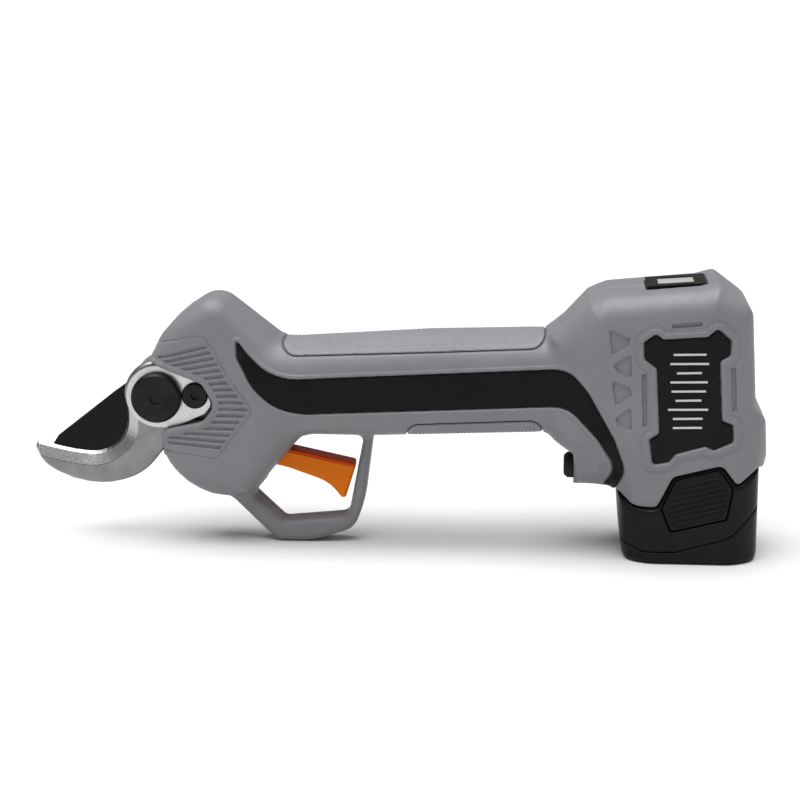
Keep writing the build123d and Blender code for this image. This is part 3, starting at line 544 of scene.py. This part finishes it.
def drop_crumbs(mesh, fewest=100):
    """Remove the few loose faces that thinning can leave."""
    shape = bmesh.new()
    shape.from_mesh(mesh)
    waiting = set(shape.faces)
    crumbs = []
    while waiting:
        island = [waiting.pop()]
        for face in island:
            for edge in face.edges:
                if len(edge.link_faces) != 2:
                    continue
                for near in edge.link_faces:
                    if near in waiting:
                        waiting.remove(near)
                        island.append(near)
        if len(island) < fewest:
            crumbs += island
    bmesh.ops.delete(shape, geom=crumbs, context="FACES")
    shape.to_mesh(mesh)
    shape.free()


def shade_by_distance(mesh, distance):
    """Smooth shading whose normals come from the exact shape."""
    points = np.empty(len(mesh.vertices) * 3)
    mesh.vertices.foreach_get("co", points)
    slope = gradient(distance, points.reshape(-1, 3) / MM)
    slope /= np.maximum(np.linalg.norm(slope, axis=1, keepdims=True), 1e-9)
    mesh.polygons.foreach_set("use_smooth", [True] * len(mesh.polygons))
    mesh.normals_split_custom_set_from_vertices(slope.tolist())


def paint_region(piece, material, wanted):
    """Second material on the faces whose centres satisfy a test."""
    mesh = piece.data
    mesh.materials.append(material)
    centres = np.empty(len(mesh.polygons) * 3)
    normals = np.empty(len(mesh.polygons) * 3)
    mesh.polygons.foreach_get("center", centres)
    mesh.polygons.foreach_get("normal", normals)
    x, y, z = centres.reshape(-1, 3).T / MM
    chosen = wanted(x, y, z, normals.reshape(-1, 3))
    mesh.polygons.foreach_set("material_index", chosen.astype(np.int32))


def make_piece(name, distance, box, cell, material, body, node, ratio=0.5):
    """Piece from a distance function, in place of a CAD node."""
    mesh = thinned(surface_mesh(name, distance, *box, cell), ratio)
    drop_crumbs(mesh)
    mesh.name = name
    shade_by_distance(mesh, distance)
    mesh.materials.append(material)
    piece = bpy.data.objects.new(name, mesh)
    bpy.context.scene.collection.objects.link(piece)
    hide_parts(node)
    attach(piece, body)
    return piece


# ---------------------------------------------------------------- materials


def start_material(name, colour, roughness, metallic=0.0):
    """Material with a principled shader and object coordinates."""
    material = bpy.data.materials.new(name)
    material.use_nodes = True
    nodes = material.node_tree.nodes
    shader = nodes["Principled BSDF"]
    shader.inputs["Base Color"].default_value = (*colour, 1)
    shader.inputs["Roughness"].default_value = roughness
    shader.inputs["Metallic"].default_value = metallic
    place = nodes.new("ShaderNodeTexCoord")
    return material, shader, place.outputs["Object"]


def add_noise(material, place, size, detail=3.0, stretch=(1, 1, 1)):
    """Noise whose grains are about size metres across."""
    nodes, links = material.node_tree.nodes, material.node_tree.links
    mapping = nodes.new("ShaderNodeMapping")
    mapping.inputs["Scale"].default_value = stretch
    links.new(place, mapping.inputs["Vector"])
    noise = nodes.new("ShaderNodeTexNoise")
    noise.inputs["Scale"].default_value = 1 / size
    noise.inputs["Detail"].default_value = detail
    links.new(mapping.outputs["Vector"], noise.inputs["Vector"])
    return noise.outputs["Fac"]


def drive(material, source, socket, low, high):
    """Let a texture move a shader value between two limits."""
    nodes, links = material.node_tree.nodes, material.node_tree.links
    spread = nodes.new("ShaderNodeMapRange")
    spread.inputs["From Min"].default_value = 0.3
    spread.inputs["From Max"].default_value = 0.7
    spread.inputs["To Min"].default_value = low
    spread.inputs["To Max"].default_value = high
    links.new(source, spread.inputs["Value"])
    links.new(spread.outputs["Result"], socket)


def tint(material, source, shader, dark, light):
    """Let a texture move the base colour between two shades."""
    nodes, links = material.node_tree.nodes, material.node_tree.links
    ramp = nodes.new("ShaderNodeValToRGB")
    ramp.color_ramp.elements[0].position = 0.3
    ramp.color_ramp.elements[0].color = (*dark, 1)
    ramp.color_ramp.elements[1].position = 0.7
    ramp.color_ramp.elements[1].color = (*light, 1)
    links.new(source, ramp.inputs["Fac"])
    links.new(ramp.outputs["Color"], shader.inputs["Base Color"])


def add_bump(material, source, shader, height, strength=1.0):
    """Fine relief of the given height in metres."""
    nodes, links = material.node_tree.nodes, material.node_tree.links
    bump = nodes.new("ShaderNodeBump")
    bump.inputs["Distance"].default_value = height
    bump.inputs["Strength"].default_value = strength
    links.new(source, bump.inputs["Height"])
    if shader.inputs["Normal"].is_linked:
        links.new(shader.inputs["Normal"].links[0].from_socket, bump.inputs["Normal"])
    links.new(bump.outputs["Normal"], shader.inputs["Normal"])


def shades(colour, spread):
    """Slightly darker and lighter versions of a colour."""
    dark = tuple(c * (1 - spread) for c in colour)
    light = tuple(min(1, c * (1 + spread)) for c in colour)
    return dark, light


def plastic(name, colour, roughness, grain=0.00035, relief=0.00004, spread=0.05, shine=0.5):
    """Moulded plastic with a fine grain and faint handling marks."""
    material, shader, place = start_material(name, colour, roughness)
    shader.inputs["Specular IOR Level"].default_value = shine
    fine = add_noise(material, place, grain, 2.0)
    broad = add_noise(material, place, 0.018, 4.0)
    smear = add_noise(material, place, 0.004, 5.0, (1, 1, 2.5))
    tint(material, broad, shader, *shades(colour, spread))
    drive(material, smear, shader.inputs["Roughness"], roughness - 0.06, roughness + 0.07)
    add_bump(material, fine, shader, relief)
    return material


def metal(name, colour, roughness, brush=(1, 1, 1), relief=0.00002, spread=0.08):
    """Metal with directional brushing and small stains."""
    material, shader, place = start_material(name, colour, roughness, 1.0)
    lines = add_noise(material, place, 0.0006, 3.0, brush)
    stain = add_noise(material, place, 0.006, 5.0)
    tint(material, stain, shader, *shades(colour, spread))
    drive(material, lines, shader.inputs["Roughness"], max(0.05, roughness - 0.1), roughness + 0.12)
    add_bump(material, lines, shader, relief)
    return material


def coated(name, colour, roughness):
    """Black blade coating with fine speckle."""
    material, shader, place = start_material(name, colour, roughness)
    shader.inputs["Specular IOR Level"].default_value = 0.14
    speckle = add_noise(material, place, 0.0005, 4.0)
    tint(material, speckle, shader, *shades(colour, 0.35))
    drive(material, speckle, shader.inputs["Roughness"], roughness - 0.08, roughness + 0.1)
    add_bump(material, speckle, shader, 0.00003)
    return material


GREY = plastic("grey_plastic", (0.185, 0.187, 0.2), 0.45, shine=0.4)
PAD = plastic("grip_rubber", (0.2, 0.203, 0.216), 0.6, 0.0003, 0.00008)
BLACK = plastic("black_plastic", (0.005, 0.005, 0.0055), 0.45, spread=0.2, shine=0.16)
INLAY = plastic("inlay_plastic", (0.004, 0.004, 0.0045), 0.45, spread=0.2, shine=0.12)
LABEL_FILM = plastic("label_film", (0.003, 0.003, 0.0035), 0.35, 0.0008, 0.000008, 0.2, 0.14)
MARK = plastic("label_mark", (0.55, 0.55, 0.55), 0.5)
ORANGE = plastic("orange_plastic", (0.68, 0.15, 0.001), 0.4, shine=0.12)
RED_ORANGE = plastic("red_orange_plastic", (0.8, 0.06, 0.003), 0.4, shine=0.12)
BUTTON = plastic("button_rubber", (0.008, 0.008, 0.009), 0.6, spread=0.2, shine=0.25)
DISPLAY = plastic("display", (0.42, 0.45, 0.42), 0.18, 0.002, 0.000004)
BOARD = plastic("circuit_board", (0.015, 0.10, 0.04), 0.35)
CELL = plastic("cell_sleeve", (0.03, 0.16, 0.32), 0.3)
HOOK_STEEL = metal("hook_steel", (0.24, 0.24, 0.243), 0.4, spread=0.12)
EDGE_STEEL = metal("ground_steel", (0.45, 0.45, 0.455), 0.28, (1, 1, 6))
PLATE_METAL = metal("bright_plate", (0.55, 0.55, 0.555), 0.3, (6, 1, 1))
STEEL = metal("machined_steel", (0.5, 0.5, 0.51), 0.35)
OXIDE = metal("black_oxide", (0.022, 0.022, 0.024), 0.42, spread=0.2)
BRONZE = metal("bronze", (0.52, 0.33, 0.15), 0.4)
BRASS = metal("brass", (0.66, 0.48, 0.22), 0.3)
COATING = coated("blade_coating", (0.005, 0.005, 0.0055), 0.38)

NODE_MATERIALS = {
    "housing": GREY, "grip": PAD, "inlay": INLAY, "label": LABEL_FILM, "display": DISPLAY,
    "button": BUTTON, "trigger": ORANGE, "battery": BLACK, "cell": CELL, "board": BOARD,
    "blade_steel": HOOK_STEEL, "blade_coated": COATING, "plate": PLATE_METAL, "steel": STEEL,
    "dark_steel": OXIDE, "bronze": BRONZE, "brass": BRASS,
}


def paint_nodes():
    """Give every CAD node the material of its slot."""
    for part in frame["record"]["subparts"]:
        node = frame["nodes"][part["node"]]
        node.data.materials.clear()
        node.data.materials.append(NODE_MATERIALS[part["material_slot"]])


# ---------------------------------------------------------------- housing shape


def block_half(x, z):
    """Half-width of the rear block: flared in front, drawn in behind, round above the battery."""
    upper = np.interp(x, BLOCK_TOP_X, BLOCK_TOP_HALF)
    lower = np.interp(x, BLOCK_FOOT_X, BLOCK_FOOT_HALF)
    share = np.clip((z - 24 - 0.2 * (x - 80)) / 26, 0, 1)
    share = share * share * (3 - 2 * share)
    return np.minimum(upper, lower * (1 - share) + upper * share)


def head_half(x):
    """Half-width of the head: drawn in at the nose and growing into the handle."""
    return np.interp(x, [-100, -88, -66, -40], [14.2, HEAD_HALF, HEAD_HALF + 0.3, HANDLE_HALF])


def hollow_body(x, y, z):
    """Head, handle and rear block without the finger guard."""
    head_edge = np.interp(x, [-90, -70, -45], [7, 9.5, 13])
    head = slab(side("head", x, z), y, head_half(x), head_edge)
    handle = slab(side("handle", x, z), y, HANDLE_HALF, 13)
    rear_edge = np.interp(x, [66, 76, 124, 134], [8, 10, 10, 5])
    rear = slab(side("block", x, z), y, block_half(x, z), rear_edge)
    return merged(merged(head, handle, 3), rear, 3)


def plain_body(x, y, z):
    """Whole outer shape of the tool's body."""
    loop = slab(side("guard", x, z), y, GUARD_HALF, 3.2)
    return merged(hollow_body(x, y, z), loop, 3)


def rib_grooves(x, z):
    """Mask of the grooves between the ribs beside the head window."""
    bars = np.full(np.broadcast(x, z).shape, 9.0)
    for index in range(RIB_COUNT):
        slope = -0.09 + 0.0215 * index
        line = 41.5 + RIB_PITCH * index + slope * (x + 70)
        bars = np.minimum(bars, np.abs(z - line) - 0.62)
    field = np.maximum(side("ribs", x, z), 3.0 - side("window", x, z))
    return mask(np.maximum(bars, field), 0.5)


def surface_depth(x, y, z):
    """How far the outer surface lies below the plain body, negative where it stands proud."""
    flank = np.clip((np.abs(y) - 6) / 2, 0, 1)
    stripe, label, ribs = side("stripe", x, z), side("label", x, z), side("ribs", x, z)
    window, vents = side("window", x, z), side("vents", x, z)
    pads = np.minimum(side("top_pad", x, z), side("lower_pad", x, z))
    carved = np.maximum(0.85 * rib_grooves(x, z), 1.1 * mask(vents))
    carved = np.maximum(carved, 0.4 * mask(np.abs(ribs - 1.6) - 0.35) * mask(-window))
    carved = np.maximum(carved, 0.3 * mask(np.abs(label - 3.4) - 0.3))
    carved = np.maximum(carved, INLAY_DEPTH * 1.3 * mask(np.minimum(stripe, label)))
    label_rim = 0.45 * mask(np.abs(label - 1.3) - 0.8, 0.6) * mask(-vents)
    stripe_rim = 0.3 * mask(np.abs(stripe - 0.9) - 0.6, 0.6)
    window_rim = 0.4 * mask(np.abs(window - 1.1) - 0.8, 0.6)
    raised = np.maximum(np.maximum(label_rim, stripe_rim), window_rim)
    return np.maximum(flank * carved, PAD_DEPTH * mask(pads)) - flank * raised * mask(-pads)


def battery_room(x, y, z):
    """Room for the battery under and inside the rear block."""
    lower = side("battery", x, z) - SEAT_GAP
    stem = box_distance(x, y, z, (94.1, -20.8, -5), (135.9, 20.8, 79))
    return np.minimum(lower, stem)


def display_frame(x, z):
    """Coordinates along and above the tilted display face."""
    tilt = math.radians(DISPLAY_TILT)
    across, up = x - DISPLAY_CENTRE[0], z - DISPLAY_CENTRE[1]
    return across * math.cos(tilt) + up * math.sin(tilt), up * math.cos(tilt) - across * math.sin(tilt)


def small_cuts(x, y, z):
    """Blade slot, windows, trigger slot, button hole and display recess."""
    blade_slot = box_distance(x, y, z, (-112, -8.9, 30), (-84, 12.4, 80))
    window = np.maximum(side("window", x, z), np.minimum(y + 8.65, 12.35 - y))
    trigger_slot = np.maximum(side("slot", x, z), np.abs(y) - 5.6)
    button = np.maximum(np.hypot(y, z - BUTTON_Z) - 5.6, np.abs(x - 70) - 8)
    along, up = display_frame(x, z)
    display = np.maximum(np.maximum(np.abs(along) - 11.7, np.abs(y) - 10.7), -up - 4.6)
    cuts = np.minimum(np.minimum(blade_slot, window), np.minimum(trigger_slot, button))
    return np.minimum(cuts, display)


def screw_wells(x, y, z):
    """Counterbores of the housing screws on the right side."""
    wells = np.full(np.broadcast(x, y, z).shape, 50.0)
    for centre_x, centre_z, seat in HOUSING_SCREWS:
        round_part = np.hypot(x - centre_x, z - centre_z) - 2.9
        wells = np.minimum(wells, np.maximum(round_part, seat - y))
    return wells


def screw_posts(x, y, z):
    """Posts inside the right half that carry the screw heads."""
    posts = np.full(np.broadcast(x, y, z).shape, 50.0)
    for centre_x, centre_z, _ in HOUSING_SCREWS:
        posts = np.minimum(posts, np.hypot(x - centre_x, z - centre_z) - 4.2)
    return np.maximum(posts, hollow_body(x, y, z) + 1.5)


def button_collar(x, y, z):
    """Raised ring round the power button."""
    ring = np.hypot(y, z - BUTTON_Z) - 7.4
    return np.maximum(np.maximum(ring, 70.8 - x), x - 78)


def housing(x, y, z):
    """Both housing halves in one: a thin shell with all its openings."""
    outside = merged(plain_body(x, y, z), button_collar(x, y, z), 0.8)
    outside = outside + surface_depth(x, y, z)
    shell = np.maximum(outside, -(hollow_body(x, y, z) + WALL))
    shell = cut(shell, battery_room(x, y, z), 0.5)
    return cut(shell, small_cuts(x, y, z), 0.5)


def housing_left(x, y, z):
    """Left half, with a small bevel along the parting line."""
    return cut(housing(x, y, z), -0.06 - y, 0.35)


def housing_right(x, y, z):
    """Right half, with its screw wells."""
    posts = np.maximum(screw_posts(x, y, z), -battery_room(x, y, z))
    shell = np.minimum(housing(x, y, z), posts)
    shell = cut(shell, y - 0.06, 0.35)
    return cut(shell, screw_wells(x, y, z), 0.4)


def grip_pad(name):
    """Distance function of a soft pad on the handle, with a dotted grip texture."""
    def distance(x, y, z):
        outside = hollow_body(x, y, z) + PAD_SINK
        edge = side(name, x, z) + SEAM_GAP
        across = np.abs(y) * 1.2
        dots = np.sin((x + across) * DOT_WAVE) * np.sin((x - across) * DOT_WAVE)
        relief = DOT_HEIGHT * np.clip(dots, -0.2, 1) * np.clip(-(edge + 1.6), 0, 1)
        skin = np.maximum(outside - relief, -(outside + PAD_DEPTH - 0.15))
        return cut(skin, -edge, 0.5)
    return distance


def inlay(name, sink):
    """Distance function of a thin inlay in the left flank."""
    def distance(x, y, z):
        outside = plain_body(x, y, z) + sink
        skin = np.maximum(outside, -(outside + 0.75))
        edge = side(name, x, z) + SEAM_GAP
        return np.maximum(cut(skin, -edge, 0.35), y + 6)
    return distance


def flipped(distance):
    """The same shape on the right side."""
    return lambda x, y, z: distance(x, -y, z)


# ---------------------------------------------------------------- head, trigger and battery shapes


def fixed_blade(x, y, z):
    """Hook with a ground bevel along its cutting edge."""
    outline = np.minimum(side("fixed", x, z), from_pivot(x, z) - HOOK_DISC)
    pinion_room = np.maximum(np.abs(z - PIVOT[1] - 1) - 8.9, -83.5 - x)
    outline = np.maximum(cut(outline, pinion_room), BLADE_BORE - from_pivot(x, z))
    bevel = 2.9 * np.clip(1 - side("fixed_edge", x, z) / 5.2, 0, 1)
    front = HOOK_FACES[0] + bevel - y
    return np.maximum(bevel_join(outline, front, 0.9), y - HOOK_FACES[1])


def moving_blade(x, y, z):
    """Curved blade whose bevel faces away from the hook."""
    outline = np.minimum(side("moving", x, z), from_pivot(x, z) - BLADE_DISC)
    outline = np.maximum(outline, BLADE_BORE - from_pivot(x, z))
    bevel = 2.6 * np.clip(1 - side("moving_edge", x, z) / 6.0, 0, 1)
    back = y - BLADE_FACES[1] + bevel
    return np.maximum(bevel_join(outline, back, 0.5), BLADE_FACES[0] - y)


def strip_line(x):
    """Height of the groove below the trigger's coloured strip."""
    return 37.75 - 0.216 * (x + 43)


def trigger(x, y, z):
    """Finger lever with rounded flanks and a groove below its coloured strip."""
    solid = round_join(side("trigger", x, z), np.abs(y) - TRIGGER_HALF, 1.6)
    groove = np.maximum(np.abs(z - strip_line(x)) - 0.28, TRIGGER_HALF - 0.45 - np.abs(y))
    solid = cut(solid, np.maximum(groove, STRIP_START - x))
    pin_hole = np.hypot(x - TRIGGER_PIN[0], z - TRIGGER_PIN[1]) - 1.55
    return cut(solid, pin_hole)


def battery_plan(x, y):
    """Rounded rectangle of the battery in plan."""
    along = np.abs(x - BATTERY_MIDDLE) - BATTERY_HALF_LENGTH
    return round_join(along, np.abs(y) - BATTERY_HALF_WIDTH, BATTERY_CORNER)


def battery_body(x, y, z):
    """Outside of the battery with its stem."""
    lower = round_join(battery_plan(x, y), side("battery", x, z), 2.5)
    stem = box_distance(x, y, z, (94.5, -20.4, 12), (135.5, 20.4, 77)) + 0.3
    return np.minimum(lower, stem)


def battery_shell(x, y, z):
    """Hollow battery case with its latch pockets and contact slots."""
    room = box_distance(x, y, z, (96, -19.1, 2), (134, 19.1, 75))
    shell = cut(battery_body(x, y, z), room)
    latch_room = np.maximum(side("latch", x, z) - 0.35, 20.6 - np.abs(y))
    shell = cut(shell, latch_room, 0.3)
    slots = box_distance(x, np.abs(np.abs(y) - 8) - 4, z, (109.4, -0.8, 70), (120.6, 0.8, 80))
    return cut(shell, slots)


def battery_case(x, y, z):
    """Upper part of the battery case."""
    return cut(battery_shell(x, y, z), side("base", x, z) - 0.1, 0.45)


def battery_base(x, y, z):
    """Wedge shaped bottom cap."""
    return cut(battery_shell(x, y, z), -side("base", x, z) - 0.1, 0.45)


def latch(x, y, z):
    """Left latch panel with slanted grip ribs."""
    outline = side("latch", x, z)
    row = z - 0.25 * (x - 118)
    wave = np.sin(row * 2 * math.pi / LATCH_RIB_PITCH)
    ribs = 0.55 * np.clip(wave * 1.6 + 0.3, 0, 1) * mask(outline + 1.6, 0.6)
    face = -24.35 - ribs - y
    back = y + 22.6
    panel = np.maximum(bevel_join(outline, face, 0.4), back)
    lug = box_distance(x, y, z, (113.5, -22.7, 34), (121.5, -21.2, 41))
    return np.minimum(panel, lug)


def power_button(x, y, z):
    """Domed round button with a flange behind it."""
    radius = np.hypot(y, z - BUTTON_Z)
    front = BUTTON_FRONT + 0.02 * radius ** 2
    cap = np.maximum(bevel_join(radius - 5.2, front - x, 1.2), x - BUTTON_BACK)
    dish = np.hypot(radius, x - BUTTON_FRONT + 11.4) - 12.0
    flange = np.maximum(radius - 6.4, np.abs(x - BUTTON_BACK) - 0.4)
    return np.minimum(cut(cap, dish), flange)


def on_hook_bevel(x, y, z, normals):
    """Ground bevel along the hook's cutting edge."""
    return (side("fixed_edge", x, z) < 5.1) & (normals[:, 1] < -0.3) & (y > -8.5)


def on_trigger_top(x, y, z, normals):
    """Coloured strip along the top of the trigger."""
    return (z > strip_line(x) - 0.05) & (x > STRIP_START)


def label_bars():
    """Rows of plain printed bars on the left label."""
    vertices, faces = [], []
    for row in range(BAR_COUNT):
        z = BAR_TOP - BAR_PITCH * row
        half = 6.2 + 1.5 * math.sin(row * 2.3)
        low, high = BAR_X - half, BAR_X + half
        first = len(vertices)
        for x, height in ((low, z - 0.55), (high, z - 0.25), (high, z + 0.55), (low, z + 0.25)):
            vertices.append((x * MM, BAR_Y[0] * MM, height * MM))
            vertices.append((x * MM, BAR_Y[1] * MM, height * MM))
        faces.append((first, first + 2, first + 4, first + 6))
        faces.append((first + 1, first + 7, first + 5, first + 3))
        for corner in range(4):
            a, b = first + 2 * corner, first + 2 * ((corner + 1) % 4)
            faces.append((a, a + 1, b + 1, b))
    mesh = bpy.data.meshes.new("label_bars")
    mesh.from_pydata(vertices, [], faces)
    mesh.materials.append(MARK)
    piece = bpy.data.objects.new("label_bars", mesh)
    bpy.context.scene.collection.objects.link(piece)
    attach(piece, "housing")


def make_housing():
    """Housing halves, pads, inlays and label plates, all fixed together."""
    body = "housing"
    left, right = ((-100, -25.6, 0), (146, 0, 113)), ((-100, 0, 0), (146, 25.6, 113))
    make_piece("housing_left_shell", housing_left, left, 0.55, GREY, body, "housing_left", 0.42)
    make_piece("housing_right_shell", housing_right, right, 0.55, GREY, body, "housing_right", 0.42)
    above, below = ((-46, -18, 78), (60, 18, 91)), ((3, -18, 45), (60, 18, 56))
    make_piece("top_grip", grip_pad("top_pad"), above, 0.45, PAD, body, "grip_pad_top", 0.8)
    make_piece("lower_grip", grip_pad("lower_pad"), below, 0.45, PAD, body, "grip_pad_lower", 0.8)
    stripe, label = inlay("stripe", 0.2), inlay("label", 0.15)
    left, right = ((-63, -26, 27), (90, -6, 85)), ((-63, 6, 27), (90, 26, 85))
    make_piece("left_stripe", stripe, left, 0.45, INLAY, body, "stripe_left", 0.4)
    make_piece("right_stripe", flipped(stripe), right, 0.45, INLAY, body, "stripe_right", 0.4)
    left, right = ((95, -26, 40), (132, -20, 96)), ((95, 20, 40), (132, 26, 96))
    make_piece("left_label", label, left, 0.4, LABEL_FILM, body, "label_plate_left", 0.3)
    make_piece("right_label", flipped(label), right, 0.4, LABEL_FILM, body, "label_plate_right", 0.3)
    label_bars()


def make_blades():
    """Hook with its ground bevel and the coated cutting blade."""
    box = ((-147, -8.6, 23), (-61, -4.6, 78))
    hook = make_piece("hook_blade", fixed_blade, box, 0.35, HOOK_STEEL, "housing", "fixed_blade")
    paint_region(hook, EDGE_STEEL, on_hook_bevel)
    box = ((-141, -4.5, 33), (-83, -1.3, 73))
    make_piece("cutting_blade", moving_blade, box, 0.35, COATING, "blade", "moving_blade")


def make_controls():
    """Trigger in two colours and the power button."""
    box = ((-60, -5, 17), (-16, 5, 46))
    lever = make_piece("finger_trigger", trigger, box, 0.3, ORANGE, "trigger", "trigger")
    paint_region(lever, RED_ORANGE, on_trigger_top)
    box = ((66, -7, 26), (76, 7, 40))
    make_piece("round_button", power_button, box, 0.3, BUTTON, "button", "power_button")


def make_battery():
    """Battery case, base cap and the latch on each side."""
    body = "battery"
    box = ((87, -25, 4), (145, 25, 77))
    make_piece("case_shell", battery_case, box, 0.5, BLACK, body, "battery_case", 0.4)
    box = ((87, -25, 0), (145, 25, 26))
    make_piece("base_shell", battery_base, box, 0.5, BLACK, body, "battery_base")
    left, right = ((104, -25, 13), (133, -21, 42)), ((104, 21, 13), (133, 25, 42))
    make_piece("left_latch", latch, left, 0.3, BLACK, "latch_left", "battery_latch_left")
    make_piece("right_latch", flipped(latch), right, 0.3, BLACK, "latch_right", "battery_latch_right")


make_camera()
make_floor()
make_light()
paint_nodes()
make_housing()
make_blades()
make_controls()
make_battery()
